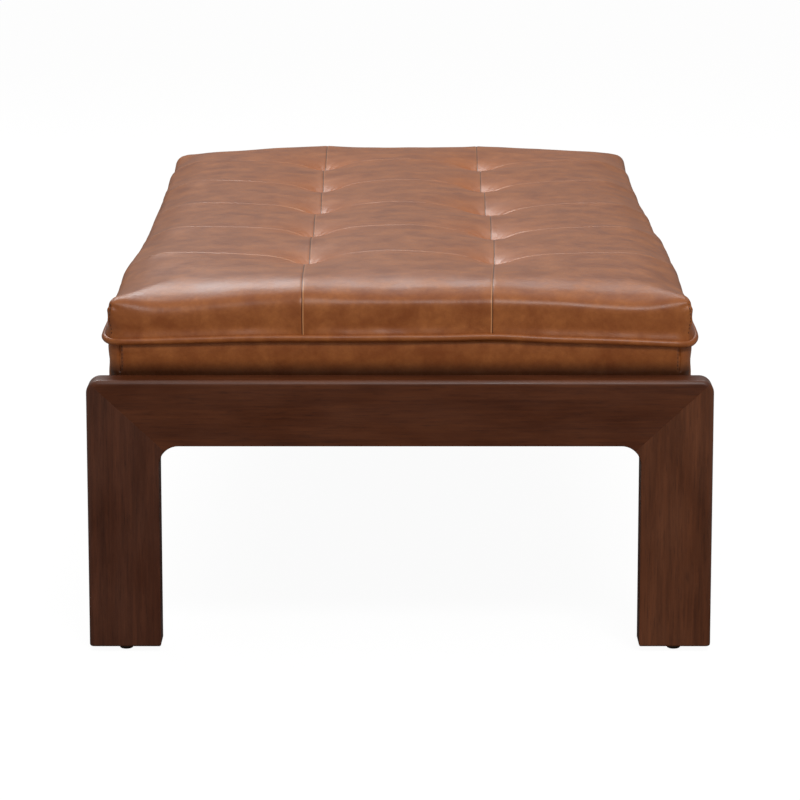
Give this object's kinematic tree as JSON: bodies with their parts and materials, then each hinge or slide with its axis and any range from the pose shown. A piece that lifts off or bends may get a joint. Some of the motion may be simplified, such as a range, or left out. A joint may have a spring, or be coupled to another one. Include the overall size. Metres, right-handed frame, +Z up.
{
  "type": "ottoman coffee table",
  "caption": "Low oblong bench table: tufted, welted leather seat on an upholstered box, bolted between two mitred wooden end frames on glides.",
  "frame": {"origin": "on the floor under the centre of the table", "axes": "+X across the table to the right as seen from the pictured end, +Y along the table away from that end, +Z up"},
  "size_m": [0.711, 1.422, 0.422],
  "materials": {
    "frame_hardwood": "walnut-stained hardwood under satin lacquer",
    "tenon_beech": "plain beech",
    "box_softwood": "planed softwood",
    "deck_plywood": "sanded plywood",
    "tan_leather": "pull-up leather, waxed, cognac brown",
    "welt_cord": "twisted paper and cotton cord",
    "firm_foam": "firm cut foam",
    "soft_foam": "soft cut foam",
    "tuft_twine": "waxed upholstery twine",
    "tuft_button": "moulded nylon",
    "dust_cloth": "black non-woven cloth",
    "glide": "moulded nylon, dark brown",
    "zinc_steel": "zinc-plated steel"
  },
  "bodies": {
    "root": {"front_left_leg": "frame_hardwood", "front_right_leg": "frame_hardwood", "front_top_rail": "frame_hardwood", "back_left_leg": "frame_hardwood", "back_right_leg": "frame_hardwood", "back_top_rail": "frame_hardwood", "mitre_tenons": "tenon_beech", "glide_pads": "glide", "glide_nails": "zinc_steel", "box_left_rail": "box_softwood", "box_right_rail": "box_softwood", "box_front_rail": "box_softwood", "box_back_rail": "box_softwood", "box_corner_blocks": "box_softwood", "cross_rail_1": "box_softwood", "cross_rail_2": "box_softwood", "cross_rail_3": "box_softwood", "cross_rail_4": "box_softwood", "deck_panel": "deck_plywood", "dust_cover": "dust_cloth", "connector_bolts": "zinc_steel", "threaded_inserts": "zinc_steel", "left_band": "tan_leather", "right_band": "tan_leather", "front_band": "tan_leather", "back_band": "tan_leather", "welt_sleeve": "tan_leather", "welt_cord": "welt_cord", "firm_foam": "firm_foam", "soft_topper": "soft_foam", "top_cover": "tan_leather", "tuft_twines": "tuft_twine", "tuft_buttons": "tuft_button"}
  },
  "joints": []
}
